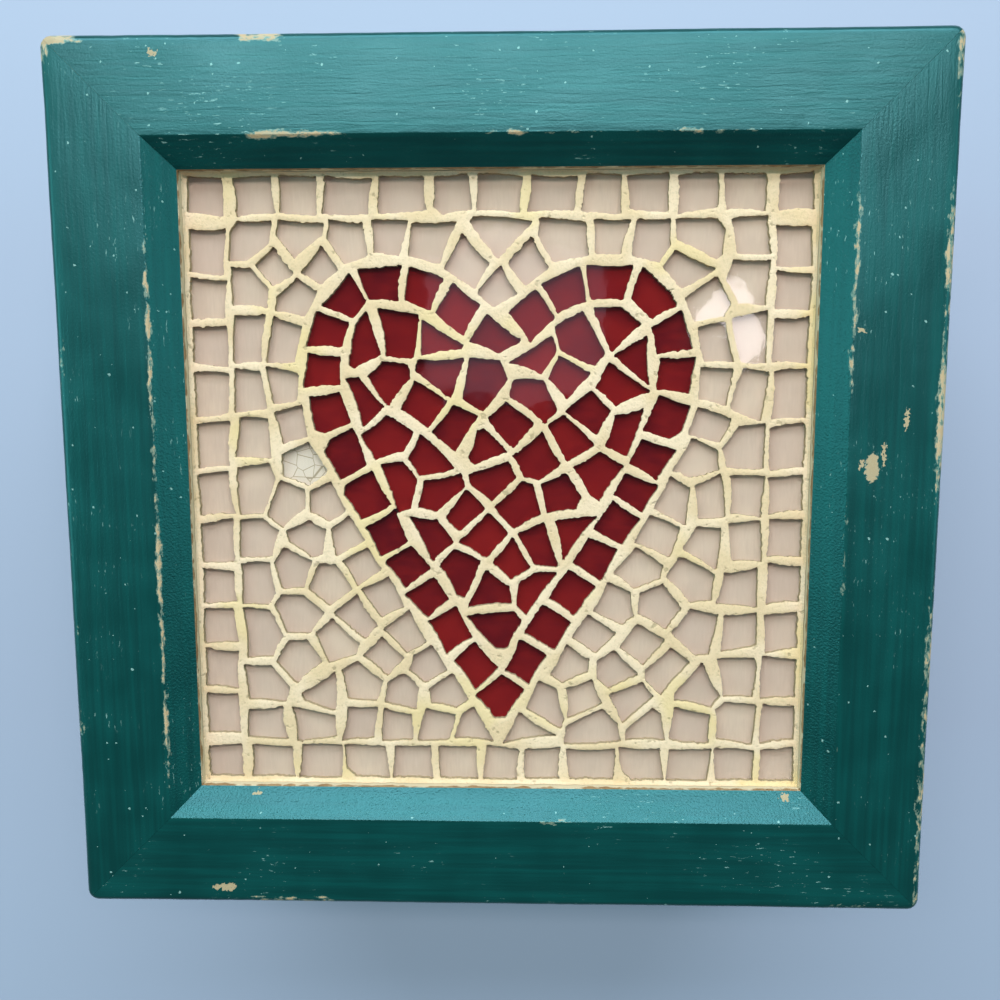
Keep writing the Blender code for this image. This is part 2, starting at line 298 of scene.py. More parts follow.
def mitred_board(name, corners, half_side, corner_radius, quarter, materials, worn_places):
    """One side of a square frame with its profile run between mitres, a number of quarter turns on.

    The mesh carries two attributes: run, the way along and round the board, and wear, which is high on
    a worn edge. Worn places are listed by the profile's corner.
    """
    profile = eased_profile(corners)
    bm = bmesh.new()
    wear_layer = bm.verts.layers.float.new("wear")
    round_layer = bm.verts.layers.float.new("round")
    corner_layer = bm.verts.layers.int.new("corner")
    ring = []
    gone = 0.0
    for index, (place, wear, _, corner) in enumerate(profile):
        vert = bm.verts.new((0, -place.x, place.y))
        vert[wear_layer] = wear
        vert[corner_layer] = corner
        vert[round_layer] = gone
        gone += (profile[(index + 1) % len(profile)][0] - place).length
        ring.append(vert)
    edges = [bm.edges.new(pair) for pair in zip(ring, ring[1:] + ring[:1])]
    bmesh.ops.spin(
        bm, geom=ring + edges, cent=(0, 0, 0), axis=(0, 0, 1), dvec=(2 / board_steps, 0, 0),
        angle=0, steps=board_steps,
    )
    ends = [edge for edge in bm.edges if edge.is_boundary]
    bmesh.ops.holes_fill(bm, edges=ends, sides=0)
    bmesh.ops.recalc_face_normals(bm, faces=bm.faces)
    bm.normal_update()
    starts = [0.0]
    for here, there in zip(profile, profile[1:]):
        starts.append(starts[-1] + (there[0] - here[0]).length)
    run = bm.verts.layers.float_vector.new("run")
    for face in bm.faces:
        if len(face.verts) == 4:
            rounds = sorted(vert[round_layer] for vert in face.verts)
            last_face = rounds[-1] - rounds[0] > gone / 2
            middle = gone if last_face else (rounds[0] + rounds[-1]) / 2
            face.material_index = profile[int(np.searchsorted(starts, middle)) - 1][2]
        face.smooth = True
    for vert in bm.verts:
        out = -vert.co.y
        x = (vert.co.x - 1) * (out - mitre_gap)
        vert[run] = (x, vert[round_layer], 0.31 * (quarter + 1) + half_side)
        x, y = rounded_in_plan(x, -out, out, half_side, corner_radius)
        spot = Vector((x, quarter + 1, vert[round_layer]))
        fine = 0.6 * vert[wear_layer] * abs(noise.noise(spot * 260))
        wander = 0.5 + 0.5 * noise.noise(spot * 60) + fine
        vert[wear_layer] *= wear_at(vert[run].x, worn_places.get(vert[corner_layer], ()))
        calm = min(max(out - abs(x), 0) / mitre_calm, 1) ** 2
        inward = vert.normal * -edge_wander * wander * calm
        inward.x = 0
        vert.co = Vector((x, y, vert.co.z)) + inward
    turned = Matrix.Rotation(quarter * math.pi / 2, 3, "Z")
    bmesh.ops.rotate(bm, verts=bm.verts, cent=(0, 0, 0), matrix=turned)
    mesh = bpy.data.meshes.new(name)
    bm.to_mesh(mesh)
    bm.free()
    mesh.set_sharp_from_angle(angle=board_sharp_angle)
    return new_piece(name, mesh, materials)


def brushed_paint():
    """The group that draws brushed green paint: streaks and ridges along the board, specks and wear."""
    group, entry, leave = new_group(
        "brushed_paint",
        [
            ("Run", "NodeSocketVector"), ("Wear", "NodeSocketFloat"), ("Chips", "NodeSocketFloat"),
            ("Flecks", "NodeSocketFloat"), ("Leather", "NodeSocketFloat"),
        ],
        [
            ("Colour", "NodeSocketColor"), ("Roughness", "NodeSocketFloat"),
            ("Height", "NodeSocketFloat"),
        ],
    )
    run = entry["Run"]
    ridges = cloud(group, stretched(group, run, (100, 1150, 9)), 1.0, detail=2.0, distortion=0.8)
    streaks = cloud(group, stretched(group, run, (30, 900, 9)), 1.0, detail=2.0)
    patches = cloud(group, run, 75, detail=2.0)
    leather = cloud(group, run, 2300, detail=1.0, roughness=0.6)

    tone = maths(group, "MULTIPLY", streaks, 0.55)
    tone = maths(group, "ADD", tone, maths(group, "MULTIPLY", patches, 0.45))
    tone = step(group, tone, 0.36, 0.68)
    colour = blend(group, tone, paint_deep, paint_pale)

    bent = stretched(group, leather, speck_bend)
    bent = add(group, "VectorMath", {0: run, 1: bent}, operation="ADD").outputs[0]
    dots = add(group, "TexVoronoi", {"Vector": bent, "Scale": speck_scale}, feature="F1")
    size = add(group, "SeparateColor", {"Color": dots.outputs["Color"]}).outputs["Red"]
    wide = maths(group, "MULTIPLY", maths(group, "POWER", size, 5.0), 0.15)
    specks = maths(group, "LESS_THAN", dots.outputs["Distance"], wide)
    scuffs = cloud(group, stretched(group, run, (520, 2300, 20)), 1.0, detail=3.0, roughness=0.65)
    scuffs = maths(group, "ADD", scuffs, maths(group, "MULTIPLY", entry["Flecks"], 0.06))
    rubbed = maths(group, "MAXIMUM", step(group, patches, 0.50, 0.66), entry["Flecks"])
    scuffs = maths(group, "MULTIPLY", step(group, scuffs, 0.64, 0.70), rubbed)
    pale = maths(group, "MULTIPLY", maths(group, "MAXIMUM", specks, scuffs), speck_strength)
    colour = blend(group, pale, colour, paint_speck)

    ragged = cloud(group, stretched(group, run, (420, 900, 20)), 1.0, detail=3.0, roughness=0.65)
    patchy = cloud(group, stretched(group, run, (42, 42, 20)), 1.0, detail=1.0)
    bite = maths(group, "MULTIPLY", ragged, 0.8)
    bite = maths(group, "ADD", bite, maths(group, "MULTIPLY", patchy, 0.65))
    bite = maths(group, "ADD", bite, maths(group, "MULTIPLY", entry["Wear"], 0.42))
    worn = maths(group, "MAXIMUM", step(group, bite, 1.15, 1.21), entry["Chips"])
    rim = maths(group, "MAXIMUM", step(group, bite, 1.08, 1.14), entry["Chips"])
    wood = blend(group, step(group, ragged, 0.35, 0.62), worn_wood, pine_pale)
    colour = blend(group, maths(group, "MULTIPLY", rim, 0.6), colour, worn_edge)
    wood = blend(group, maths(group, "MULTIPLY", entry["Chips"], 0.8), wood, chipped_wood)
    colour = blend(group, worn, colour, wood)

    roughness = maths(group, "ADD", paint_roughness, maths(group, "MULTIPLY", worn, 0.35))
    uneven = maths(group, "MULTIPLY", maths(group, "SUBTRACT", patches, 0.5), 0.2)
    roughness = maths(group, "ADD", roughness, uneven)
    grain = maths(group, "MULTIPLY", leather, maths(group, "ADD", entry["Leather"], 0.15))
    height = maths(group, "ADD", maths(group, "MULTIPLY", ridges, 0.30), grain)
    group.links.new(colour, leave["Colour"])
    group.links.new(roughness, leave["Roughness"])
    group.links.new(height, leave["Height"])
    return group


paint_group = brushed_paint()


def green_paint(name, chips=None, flecks=None, leather=0.0):
    """The paint on one kind of board. Chips and flecks are functions that add masks to the material."""
    material, tree, shader = new_material(name, paint_roughness)
    run = add(tree, "Attribute", attribute_name="run").outputs["Vector"]
    wear = add(tree, "Attribute", attribute_name="wear").outputs["Fac"]
    values = {"Run": run, "Wear": wear, "Leather": leather}
    values["Chips"] = chips(tree) if chips else 0.0
    values["Flecks"] = flecks(tree) if flecks else 0.0
    paint = use_group(tree, paint_group, values)
    tree.links.new(paint["Colour"], shader.inputs["Base Color"])
    tree.links.new(paint["Roughness"], shader.inputs["Roughness"])
    shader.inputs["Specular IOR Level"].default_value = paint_shine
    shader.inputs["Specular Tint"].default_value = paint_sheen
    set_relief(tree, shader, paint["Height"], paint_relief)
    return material


wall_paint = green_paint("green_paint_walls")
painted, bare = 0, 1
wall_low, wall_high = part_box("box_front_wall")
body_half = -wall_low.y
base_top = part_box("box_base")[1].z + base_gap
wall_corners = [
    (body_half - wall_thickness + base_rebate_depth, 0.0, 0, painted),
    (body_half, 0.0, wall_edge_radius, painted),
    (body_half, wall_high.z, wall_edge_radius, painted),
    (body_half - wall_thickness, wall_high.z, wall_edge_radius / 2, bare),
    (body_half - wall_thickness, base_top, 0, bare),
    (body_half - wall_thickness + base_rebate_depth, base_top, 0, bare),
]
foot_edge, top_edge = 1, 2
wall_wear = {foot_edge: [(-0.2, 0.2, 0.8)], top_edge: [(-0.2, 0.2, 0.9)]}
side_names = ["front", "right", "back", "left"]
for quarter, side in enumerate(side_names):
    wall = mitred_board(
        f"box_{side}_wall_painted", wall_corners, body_half, wall_corner_radius, quarter,
        [wall_paint, pine], wall_wear,
    )
    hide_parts(f"box_{side}_wall")


# The lid panel is a square of bare pine let into the back of the frame. It carries the mosaic, and
# it stands a little below the frame so that it drops inside the walls.
finish_node("lid_panel", pine)


# The mosaic is nipped glass, clear with its colour behind, laid on the panel and grouted over. Each
# tile is 1.3 mm of glass on a bed that carries the colour. It is nipped by hand, so no side is true.
weld_distance = 0.000002
glass_thickness = 0.0013
glass_below_crest = 0.00036
glass_in_bed = 0.00005
bed_gap = 0.0003
glass_under_grout = 0.00030
bed_spread = 1.1
side_sample = 0.00040
most_turn = math.radians(5)
least_size, most_size = 0.94, 0.995
pocket_margin = 0.00014
nip_share = 0.36
least_nip, most_nip = 0.0008, 0.0023
bow_in, bow_out = 0.055, 0.030
nip_noise = 0.00010
most_tilt = math.radians(0.7)
mosaic_low, mosaic_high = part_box("beige_mosaic")
glass_face = mosaic_high.z - glass_below_crest
seeded = random.Random(19)


def pocket_outlines(node):
    """The outline of each tile, read from the floors of a node's pockets."""
    bm = bmesh.new()
    bm.from_mesh(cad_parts[node].data)
    bmesh.ops.remove_doubles(bm, verts=bm.verts, dist=weld_distance)
    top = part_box(node)[1].z
    other = [
        face for face in bm.faces
        if face.normal.z < 0.9 or top - face.calc_center_median().z < weld_distance
    ]
    bmesh.ops.delete(bm, geom=other, context="FACES")
    bmesh.ops.dissolve_limit(bm, angle_limit=math.radians(1), verts=bm.verts, edges=bm.edges)
    outlines = [[vert.co.to_2d() for vert in face.verts] for face in bm.faces]
    bm.free()
    return outlines


def nipped(corners):
    """A tile's outline as nippers leave it.

    It is turned a little, some of its corners are gone, and its sides are bowed and uneven.
    """
    middle = sum(corners, Vector((0, 0))) / len(corners)
    turn = Matrix.Rotation(seeded.uniform(-most_turn, most_turn), 2)
    turn = turn * seeded.uniform(least_size, most_size)
    corners = [middle + turn @ (corner - middle) for corner in corners]
    cut = []
    for index, corner in enumerate(corners):
        back = corners[index - 1] - corner
        on = corners[(index + 1) % len(corners)] - corner
        if seeded.random() < nip_share and min(back.length, on.length) > 3 * most_nip:
            cut.append(corner + back.normalized() * seeded.uniform(least_nip, most_nip))
            cut.append(corner + on.normalized() * seeded.uniform(least_nip, most_nip))
        else:
            cut.append(corner)
    points = []
    for here, there in zip(cut, cut[1:] + cut[:1]):
        along = there - here
        across = Vector((along.y, -along.x)).normalized()
        bow = seeded.uniform(-bow_in, bow_out) * along.length
        parts = max(2, round(along.length / side_sample))
        for part in range(parts):
            share = part / parts
            place = here + along * share
            uneven = noise.noise(Vector((place.x, place.y, 0)) * 900) * nip_noise
            points.append(place + across * (pocket_margin + bow * 4 * share * (1 - share) + uneven))
    return points


def spread(points, distance):
    """An outline moved out, so that its rim goes under the grout."""
    moved = []
    for index, here in enumerate(points):
        along = points[(index + 1) % len(points)] - points[index - 1]
        moved.append(here + Vector((along.y, -along.x)).normalized() * distance)
    return moved


def raise_tile(bm, points, bottom, top, slope, tone):
    """Adds a flat tile with the given outline to a mesh. The slope is its top's rise in x and y."""
    tone_layer = bm.verts.layers.float["tone"]
    face = bm.faces.new([bm.verts.new((point.x, point.y, bottom)) for point in points])
    middle = sum(points, Vector((0, 0))) / len(points)
    upper = bmesh.ops.extrude_face_region(bm, geom=[face])["geom"]
    for vert in face.verts:
        vert[tone_layer] = tone
    for vert in upper:
        if isinstance(vert, bmesh.types.BMVert):
            vert.co.z = top + (vert.co.to_2d() - middle).dot(slope)
            vert[tone_layer] = tone


def mesh_of(bm, name):
    bmesh.ops.recalc_face_normals(bm, faces=bm.faces)
    mesh = bpy.data.meshes.new(name)
    bm.to_mesh(mesh)
    bm.free()
    return mesh


def clear_glass():
    """Clear glass that lets the lamps' light through to its backing."""
    material, tree, shader = new_material("clear_glass", 0.04)
    shader.inputs["Base Color"].default_value = (0.97, 0.98, 0.97, 1)
    shader.inputs["IOR"].default_value = 1.5
    shader.inputs["Transmission Weight"].default_value = 1.0
    where = add(tree, "TexCoord").outputs["Object"]
    ripple = cloud(tree, where, 260, detail=1.0)
    set_relief(tree, shader, ripple, 0.000018)
    lit = add(tree, "LightPath").outputs["Is Shadow Ray"]
    through = add(tree, "BsdfTransparent", {"Color": (0.95, 0.96, 0.95, 1)})
    mixed = add(tree, "MixShader", {0: lit, 1: shader.outputs[0], 2: through.outputs[0]})
    tree.links.new(mixed.outputs[0], tree.nodes["Material Output"].inputs["Surface"])
    return material


def backing(name, colours, streak_scale):
    """Colour under the glass, brushed on, so it has faint streaks and each tile has its own tone."""
    material, tree, shader = new_material(name, 0.7)
    shader.inputs["Specular IOR Level"].default_value = 0.0
    where = add(tree, "TexCoord").outputs["Object"]
    tone = add(tree, "Attribute", attribute_name="tone").outputs["Fac"]
    streaks = cloud(tree, stretched(tree, where, streak_scale), 1.0, detail=2.0)
    patches = cloud(tree, where, 150, detail=1.0)
    first, second, third = colours
    colour = blend(tree, tone, first, second)
    share = maths(tree, "MULTIPLY", streaks, 0.4)
    share = maths(tree, "ADD", share, maths(tree, "MULTIPLY", patches, 0.6))
    share = maths(tree, "MULTIPLY", step(tree, share, 0.36, 0.64), 0.40)
    colour = blend(tree, share, colour, third)
    crazed = step(tree, tone, 1.2, 1.8)  # only the crazed tile's tone is over 1
    cracks = add(tree, "TexVoronoi", {"Vector": where, "Scale": 420.0}, feature="DISTANCE_TO_EDGE")
    colour = blend(tree, maths(tree, "MULTIPLY", crazed, 0.50), colour, crazed_pale)
    cracks = maths(tree, "MULTIPLY", step(tree, cracks.outputs["Distance"], 0.035, 0.010), crazed)
    tree.links.new(blend(tree, cracks, colour, crack_dark), shader.inputs["Base Color"])
    return material


glass = clear_glass()
beige_colours = ((0.47, 0.350, 0.285, 1), (0.52, 0.395, 0.310, 1), (0.40, 0.30, 0.240, 1))
red_colours = ((0.155, 0.0060, 0.0065, 1), (0.085, 0.0035, 0.0060, 1), (0.20, 0.010, 0.008, 1))
crazed_pale, crack_dark = (0.62, 0.57, 0.50, 1), (0.30, 0.24, 0.17, 1)
crazed_place = Vector((-0.0376, 0.0064))
crazed_reach = 0.0036
crazed_tone = 2.0
flat = Vector((0, 0))
pocket_floor = mosaic_low.z + bed_gap
bed_top = glass_face - glass_thickness
tile_outlines = []
beige_backing = backing("beige_backing", beige_colours, (2400, 300, 1))
red_backing = backing("red_backing", red_colours, (300, 900, 1))
for node, name, material, slot in (
    ("beige_mosaic", "beige_tile", beige_backing, "beige_glass"),
    ("red_heart_mosaic", "red_tile", red_backing, "red_glass"),
):
    bodies, beds = bmesh.new(), bmesh.new()
    bodies.verts.layers.float.new("tone")
    beds.verts.layers.float.new("tone")
    for corners in pocket_outlines(node):
        outline = nipped(corners)
        tile_outlines.append(outline)
        slope = Vector((seeded.uniform(-1, 1), seeded.uniform(-1, 1))) * math.tan(most_tilt)
        tone = seeded.random()
        if (sum(corners, Vector((0, 0))) / len(corners) - crazed_place).length < crazed_reach:
            tone = crazed_tone
        rim = spread(outline, glass_under_grout)
        raise_tile(bodies, rim, bed_top - glass_in_bed, glass_face, slope, tone)
        rim = spread(outline, glass_under_grout * bed_spread)
        raise_tile(beds, rim, pocket_floor, bed_top, flat, tone)
    body = new_piece(name + "_glass", mesh_of(bodies, name + "_glass"), [glass])
    bed = new_piece(name + "_backing", mesh_of(beds, name + "_backing"), [material])


# The grout is one piece over the whole mosaic, flat on top, with ragged rims where it laps on to the
# glass. It is worked on a fine grid, whose points know how far they lie from the nearest tile.
grout_grid = 0.00027
grout_sharp_angle = math.radians(55)
far_off = 0.0016
deep_inside = -0.0014
rim_height = 0.00020
rim_softness = 0.00016
grout_relief = 0.00006
ragged_least = 0.00005
ragged_most = 0.00042
smear_least = 0.00030
smear_most = 0.00110
smear_rise = 0.0009
lip_gap = 0.00028
grout_bump = 0.00010
grout_deep, grout_pale = (0.78, 0.575, 0.345, 1), (0.88, 0.675, 0.460, 1)
grout_sand = (0.56, 0.44, 0.25, 1)
grout_yellow = (0.81, 0.615, 0.29, 1)
# Painted shade: the colour that darkens the grout's pits.
grout_pit_shade = (0.34, 0.26, 0.14, 1)
# The joint walls below the glass's face are painted dark brown, as painted shade round the tiles.
joint_wall_shade = (0.36, 0.28, 0.17, 1)
grout_half = mosaic_high.x + lip_gap


def distance_field(outlines, half, count):
    """For each point of a square grid, how far it lies outside the nearest outline, or inside it."""
    axis = np.linspace(-half, half, count)
    field = np.full((count, count), far_off)
    for outline in outlines:
        corner = np.array([tuple(point) for point in outline])
        low = np.searchsorted(axis, corner.min(0) - far_off)
        high = np.searchsorted(axis, corner.max(0) + far_off)
        x, y = np.meshgrid(axis[low[0]:high[0]], axis[low[1]:high[1]], indexing="ij")
        start, end = corner, np.roll(corner, -1, axis=0)
        side = end - start
        to_x = x[..., None] - start[:, 0]
        to_y = y[..., None] - start[:, 1]
        share = np.clip((to_x * side[:, 0] + to_y * side[:, 1]) / (side**2).sum(1), 0, 1)
        away = np.hypot(to_x - share * side[:, 0], to_y - share * side[:, 1]).min(-1)
        rises = (start[:, 1] > y[..., None]) != (end[:, 1] > y[..., None])
        with np.errstate(divide="ignore", invalid="ignore"):
            meets = start[:, 0] + side[:, 0] * (y[..., None] - start[:, 1]) / side[:, 1]
        inside = (rises & (x[..., None] < meets)).sum(-1) % 2 == 1
        window = field[low[0]:high[0], low[1]:high[1]]
        np.minimum(window, np.where(inside, -away, away), out=window)
    return field


def grout_reach(spot, off, to_lip):
    """How far a point lies outside the bare glass, once the grout's rims are ragged and smeared."""
    patch = 0.5 + 0.5 * noise.noise(spot * 170)
    rough = noise.noise(spot * 1100) + 0.7 * noise.noise(spot * 2300)
    off += rough * (ragged_least + (ragged_most - ragged_least) * patch**2)
    width = 0.5 + 0.5 * noise.noise(spot * 130 + Vector((7, 0, 0)))
    smear = smear_least + (smear_most - smear_least) * width
    if spot.y > grout_half - far_off:
        smear *= 0.4
    return max(off, smear + rough * ragged_most * 0.5 - to_lip)


def grout_mesh():
    """The grout's top on its grid, with walls down from its rims to the floor under the tiles."""
    count = int(2 * grout_half / grout_grid) + 1
    pitch = 2 * grout_half / (count - 1)
    field = distance_field(tile_outlines, grout_half, count)
    across, up = np.gradient(field, pitch)
    bm = bmesh.new()
    bmesh.ops.create_grid(bm, x_segments=count - 1, y_segments=count - 1, size=grout_half)
    reach, slopes = {}, {}
    for vert in bm.verts:
        column = round((vert.co.x + grout_half) / pitch)
        row = round((vert.co.y + grout_half) / pitch)
        off = field[column, row]
        slopes[vert] = Vector((across[column, row], up[column, row]))
        to_lip = grout_half - max(abs(vert.co.x), abs(vert.co.y))
        reach[vert] = grout_reach(vert.co, off, to_lip) if off > deep_inside else off
    bare = [face for face in bm.faces if any(reach[vert] < -0.5 * pitch for vert in face.verts)]
    bmesh.ops.delete(bm, geom=bare, context="FACES")
    loose = [face for face in bm.faces if sum(edge.is_boundary for edge in face.edges) > 2]
    bmesh.ops.delete(bm, geom=loose, context="FACES")
    heights = {}
    for vert in bm.verts:
        off = reach[vert]
        to_lip = grout_half - max(abs(vert.co.x), abs(vert.co.y))
        if vert.is_boundary and to_lip > pitch / 2:
            if slopes[vert].length > 0.3:
                shift = slopes[vert].normalized() * -min(max(off, -0.7 * pitch), 0.7 * pitch)
                vert.co.x += shift.x
                vert.co.y += shift.y
            off = 0.0
        swell = 1 - math.exp(-max(off, 0.0) / rim_softness)
        relief = noise.noise(vert.co * 260) + 0.5 * noise.noise(vert.co * 900) - 0.9
        level = glass_face + rim_height + (glass_below_crest - rim_height) * swell
        level += relief * grout_relief * swell
        lap = 0.6 + 0.4 * noise.noise(vert.co * 400)
        level += smear_rise * max(0.0, 1 - to_lip / smear_least) ** 2 * lap
        heights[vert] = level
    for vert, level in heights.items():
        vert.co.z = level
    rims = [edge for edge in bm.edges if edge.is_boundary]
    for part in bmesh.ops.extrude_edge_only(bm, edges=rims)["geom"]:
        if isinstance(part, bmesh.types.BMVert):
            outermost = max(abs(part.co.x), abs(part.co.y)) > grout_half - pitch / 4
            part.co.z = mosaic_low.z if outermost else pocket_floor
    rims = [edge for edge in bm.edges if edge.is_boundary]
    bmesh.ops.holes_fill(bm, edges=rims, sides=0)
    return mesh_of(bm, "grout")


def grout_material():
    """Cream cement, sanded and yellowed in patches, with painted shade in its pits and down the joint
    walls below the glass's face.
    """
    material, tree, shader = new_material("grout", 0.8)
    shader.inputs["Specular IOR Level"].default_value = 0.2
    where = add(tree, "TexCoord").outputs["Object"]
    patches = cloud(tree, where, 95, detail=2.0)
    yellow = cloud(tree, where, 60, detail=1.0)
    sand = cloud(tree, where, 2200, detail=1.0, roughness=0.7)
    pits = cloud(tree, where, 700, detail=2.0)
    colour = blend(tree, step(tree, patches, 0.35, 0.65), grout_deep, grout_pale)
    grains = maths(tree, "MULTIPLY", step(tree, sand, 0.50, 0.72), 0.35)
    colour = blend(tree, grains, colour, grout_sand)
    yellow = maths(tree, "MULTIPLY", step(tree, yellow, 0.56, 0.68), 0.6)
    colour = blend(tree, yellow, colour, grout_yellow)
    # Painted shade in the pits, which the relief also sinks.
    pit_shade = maths(tree, "MULTIPLY", step(tree, pits, 0.66, 0.74), 0.5)
    colour = blend(tree, pit_shade, colour, grout_pit_shade)
    level = add(tree, "SeparateXYZ", {0: where}).outputs["Z"]
    # Painted shade: the grout below the glass's face, down the joint walls, is coloured dark brown.
    colour = blend(tree, step(tree, level, glass_face + rim_height, glass_face), colour, joint_wall_shade)
    tree.links.new(colour, shader.inputs["Base Color"])
    height = maths(tree, "SUBTRACT", sand, step(tree, pits, 0.62, 0.74))
    set_relief(tree, shader, height, grout_bump)
    return material


grout = new_piece("grout", grout_mesh(), [grout_material()])
grout.data.shade_smooth()
grout.data.set_sharp_from_angle(angle=grout_sharp_angle)
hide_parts("beige_mosaic", "red_heart_mosaic")


# The lid frame is four moulded rails, mitred at the corners: a flat face, a bevel, and under it a
# narrow lip of raw wood with grout smeared along it. It is brushed with the same green paint.
lid_corner_radius = 0.0022
lid_arris_radius = 0.0014
bevel_arris_radius = 0.0004
bevel_foot_radius = 0.00025
rail_face = 0.0172
lip_height = 0.0020
panel_clearance = 0.0003
mark_raggedness = 0.0022
mark_scale = 1500.0
lip_brown, lip_smear = (0.22, 0.12, 0.045, 1), (0.74, 0.64, 0.44, 1)
lip_relief = 0.00008
chip_places = (
    (-0.0600, 0.0766, 0.0008, 0.0006),
    (0.0671, 0.0044, 0.0012, 0.0026),
    (0.0652, 0.0052, 0.0004, 0.0009),
    (0.0691, 0.0068, 0.0003, 0.0020),
    (0.0729, 0.0130, 0.0004, 0.0019),
    (0.0642, 0.0288, 0.0008, 0.0005),
    (-0.0528, -0.0766, 0.0022, 0.0007),
    (0.0548, -0.0589, 0.0009, 0.0005),
    (-0.0467, -0.0591, 0.0009, 0.0004),
    (-0.0790, 0.0790, 0.0020, 0.0009),
)
fleck_places = (
    (-0.0612, 0.0529, 0.0035, 0.0060),
    (0.0685, 0.0060, 0.0050, 0.0080),
    (0.0655, 0.0290, 0.0045, 0.0040),
    (-0.0500, 0.0690, 0.0240, 0.0080),
    (0.0560, -0.0600, 0.0060, 0.0025),
)

rail_low, rail_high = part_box("lid_front_rail")
panel_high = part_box("lid_panel")[1]
lid_half = -rail_low.y
sight_half = mosaic_high.x + panel_clearance
panel_half = panel_high.x + panel_clearance


def lid_marks(tree, places, edge):
    """A mask of places on the lid, with ragged outlines. A place is (x, y, half width, half depth).

    Each fades in from a little past its outline to edge, which is a share of its half size.
    """
    where = add(tree, "TexCoord").outputs["Object"]
    ragged = add(tree, "TexNoise", {"Vector": where, "Scale": mark_scale, "Detail": 2.0})
    ragged = ragged.outputs["Color"]
    shift = add(tree, "VectorMath", {0: ragged, 1: (0.5, 0.5, 0.5)}, operation="SUBTRACT").outputs[0]
    shift = add(tree, "VectorMath", {0: shift, "Scale": mark_raggedness}, operation="SCALE").outputs[0]
    where = add(tree, "VectorMath", {0: where, 1: shift}, operation="ADD").outputs[0]
    mask = 0.0
    for x, y, wide, deep in places:
        off = add(tree, "VectorMath", {0: where, 1: (x, y, 0)}, operation="SUBTRACT").outputs[0]
        off = stretched(tree, off, (1 / wide, 1 / deep, 0))
        off = add(tree, "VectorMath", {0: off}, operation="LENGTH").outputs["Value"]
        mask = maths(tree, "MAXIMUM", step(tree, off, 1.1, edge), mask)
    return mask


def lid_chips(tree):
    return lid_marks(tree, chip_places, 0.9)


def lid_flecks(tree):
    return lid_marks(tree, fleck_places, -0.5)


def raw_lip():
    """Raw brown wood with grout smeared on it."""
    material, tree, shader = new_material("raw_lip", 0.7)
    where = add(tree, "TexCoord").outputs["Object"]
    run = add(tree, "Attribute", attribute_name="run").outputs["Vector"]
    grain = use_group(tree, pine_group, {"Where": run})
    height = add(tree, "SeparateXYZ", {0: where}).outputs["Z"]
    smear = maths(tree, "MULTIPLY", cloud(tree, where, 420, detail=3.0), 1.1)
    low = step(tree, height, mosaic_high.z + lip_height, mosaic_high.z)
    smear = step(tree, maths(tree, "ADD", smear, maths(tree, "MULTIPLY", low, 0.6)), 0.58, 0.76)
    colour = blend(tree, 0.55, grain["Colour"], lip_brown)
    colour = blend(tree, maths(tree, "MULTIPLY", smear, 0.85), colour, lip_smear)
    tree.links.new(colour, shader.inputs["Base Color"])
    set_relief(tree, shader, smear, lip_relief)
    return material


lid_paint = green_paint("green_paint_lid", lid_chips, lid_flecks)
bevel_paint = green_paint("green_paint_bevel", lid_chips, lid_flecks, leather=0.45)
face, lip, bevel = 0, 1, 2
bevel_foot = mosaic_high.z + lip_height
rail_corners = [
    (panel_half, rail_low.z, 0, face),
    (lid_half, rail_low.z, lid_arris_radius, face),
    (lid_half, rail_high.z, lid_arris_radius, face),
    (lid_half - rail_face, rail_high.z, bevel_arris_radius, bevel),
    (sight_half, bevel_foot, bevel_foot_radius, lip),
    (sight_half, mosaic_low.z, 0, face),
    (panel_half, mosaic_low.z, 0, face),
]
outer_edge, bevel_edge = 2, 3
lid_wear = {
    "front": {
        outer_edge: [(-0.048, -0.031, 1.2), (0.062, 0.080, 0.9)],
        bevel_edge: [(-0.02, 0.03, 0.6)],
    },
    "right": {
        outer_edge: [(-0.090, 0.090, 0.85)],
        bevel_edge: [(0.017, 0.056, 0.9), (-0.05, 0.0, 0.7)],
    },
    "back": {
        outer_edge: [(0.036, 0.045, 1.15), (0.073, 0.09, 1.2)],
        bevel_edge: [(0.024, 0.044, 1.15), (-0.06, 0.0, 0.75)],
    },
    "left": {
        outer_edge: [(-0.090, -0.075, 1.1), (-0.03, 0.05, 0.7)],
        bevel_edge: [(-0.047, 0.058, 0.95)],
    },
}
lip_wood = raw_lip()
for quarter, side in enumerate(side_names):
    rail = mitred_board(
        f"lid_{side}_rail_painted", rail_corners, lid_half, lid_corner_radius, quarter,
        [lid_paint, lip_wood, bevel_paint], lid_wear[side],
    )
    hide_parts(f"lid_{side}_rail")


# The floor is a plain pale sheet, larger than any view shows.
floor_half = 3.0
floor_colour = (0.42, 0.475, 0.61, 1)
bm = bmesh.new()
bmesh.ops.create_grid(bm, x_segments=1, y_segments=1, size=floor_half)
floor_mesh = mesh_of(bm, "floor")
floor = bpy.data.objects.new("floor", floor_mesh)
bpy.context.scene.collection.objects.link(floor)
floor_paper, _, floor_shader = new_material("floor", 0.7)
floor_shader.inputs["Base Color"].default_value = floor_colour
floor_mesh.materials.append(floor_paper)


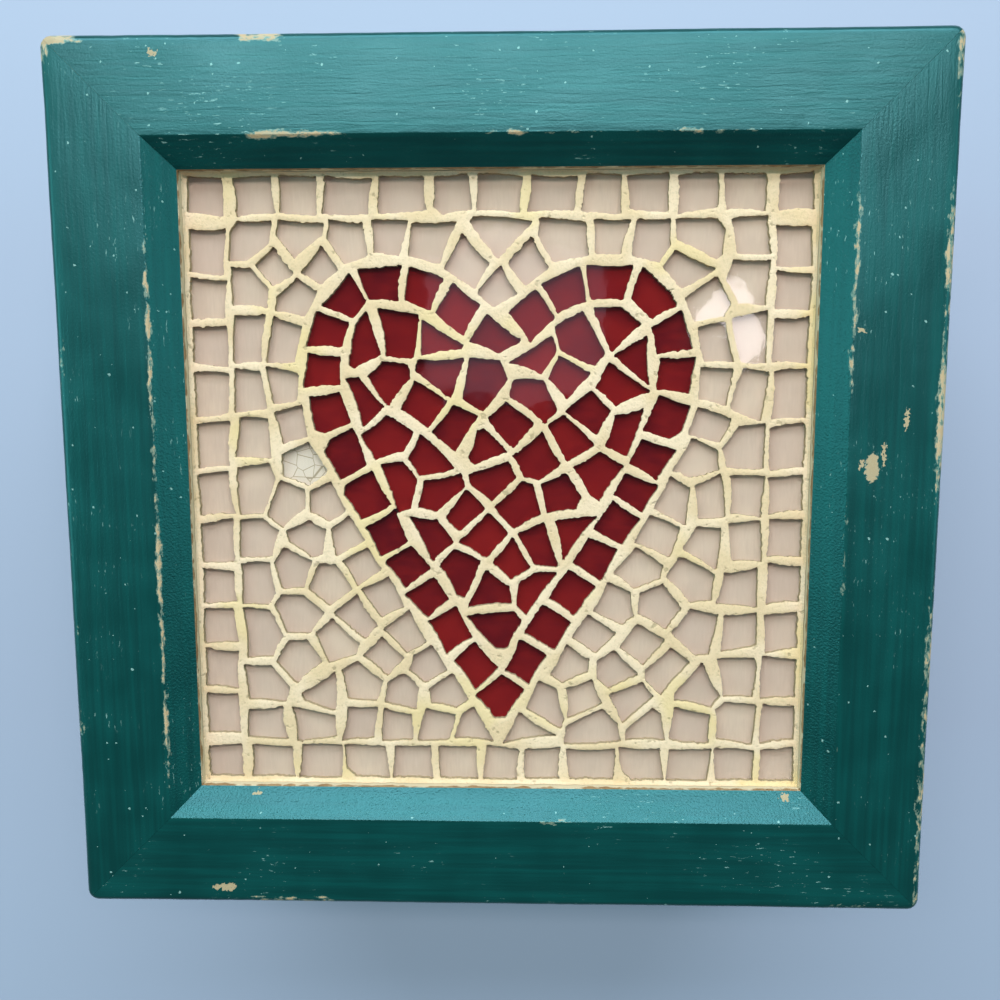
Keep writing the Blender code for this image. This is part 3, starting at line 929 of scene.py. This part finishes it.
# The light is a soft studio set: a key lamp high behind the lid's top edge, a large panel lower behind
# it, weaker panels at the sides, and a pale sky. A small round lamp puts a glare on three tiles.
def lamp(name, towards, zenith, distance, size, power, colour, shape="RECTANGLE"):
    """An area lamp that faces the lid. Towards is its bearing from +Y to -X, both angles in degrees."""
    data = bpy.data.lights.new(name, "AREA")
    data.shape = shape
    data.size, data.size_y = size
    data.energy = power
    data.color = colour
    made = bpy.data.objects.new(name, data)
    bpy.context.scene.collection.objects.link(made)
    bearing, tilt = math.radians(towards), math.radians(zenith)
    way = Vector((
        -math.sin(bearing) * math.sin(tilt), math.cos(bearing) * math.sin(tilt), math.cos(tilt),
    ))
    made.location = Vector((0, 0, rail_high.z)) + way * distance
    made.rotation_mode = "QUATERNION"
    made.rotation_quaternion = way.to_track_quat("Z", "Y")
    made.visible_camera = False
    return made


lamp("key", 1, 27, 0.9, (0.90, 0.12), 4.2, (1.0, 0.955, 0.93))
lamp("back_panel", 2, 52, 1.1, (1.4, 0.5), 13.6, (0.80, 0.93, 1.0))
lamp("left_panel", 84, 60, 1.0, (0.6, 0.6), 2.6, (0.40, 0.97, 0.92))
lamp("right_panel", -84, 60, 1.0, (0.6, 0.6), 1.7, (0.40, 0.97, 0.92))
lamp("ceiling", 0, 8, 0.8, (0.20, 0.16), 0.10, (1.0, 0.72, 0.92))
glare = lamp("glare", 0, 0, 0.38, (0.040, 0.040), 0.036, (1.0, 0.92, 0.94), "DISK")
glare.location = (0.1390, 0.0661, 0.4545)
glare.rotation_quaternion = Vector((0.2387, 0.0895, 0.9670)).to_track_quat("Z", "Y")

# The sky is a plain pale blue.
world = bpy.data.worlds.new("sky")
world.use_nodes = True
sky = world.node_tree.nodes["Background"]
sky.inputs["Color"].default_value = (0.62, 0.76, 0.95, 1)
sky.inputs["Strength"].default_value = 0.16
bpy.context.scene.world = world
bpy.context.scene.view_settings.view_transform = "Standard"


# The camera looks down on the lid from close by, a little behind its middle and tilted back to it.
camera_tilt = math.radians(6.443)
camera_tilt_axis = Vector((6.299, -1.355, -0.011))
camera_above_lid = 0.15356
camera_data = bpy.data.cameras.new("camera")
camera_data.sensor_width = 36
camera_data.lens = 30.6
camera = bpy.data.objects.new("camera", camera_data)
bpy.context.scene.collection.objects.link(camera)
lid_to_camera = Matrix.Rotation(camera_tilt, 3, camera_tilt_axis)
camera.matrix_world = lid_to_camera.transposed().to_4x4()
camera.location = (0.00406, 0.01553, rail_high.z + camera_above_lid)
bpy.context.scene.camera = camera
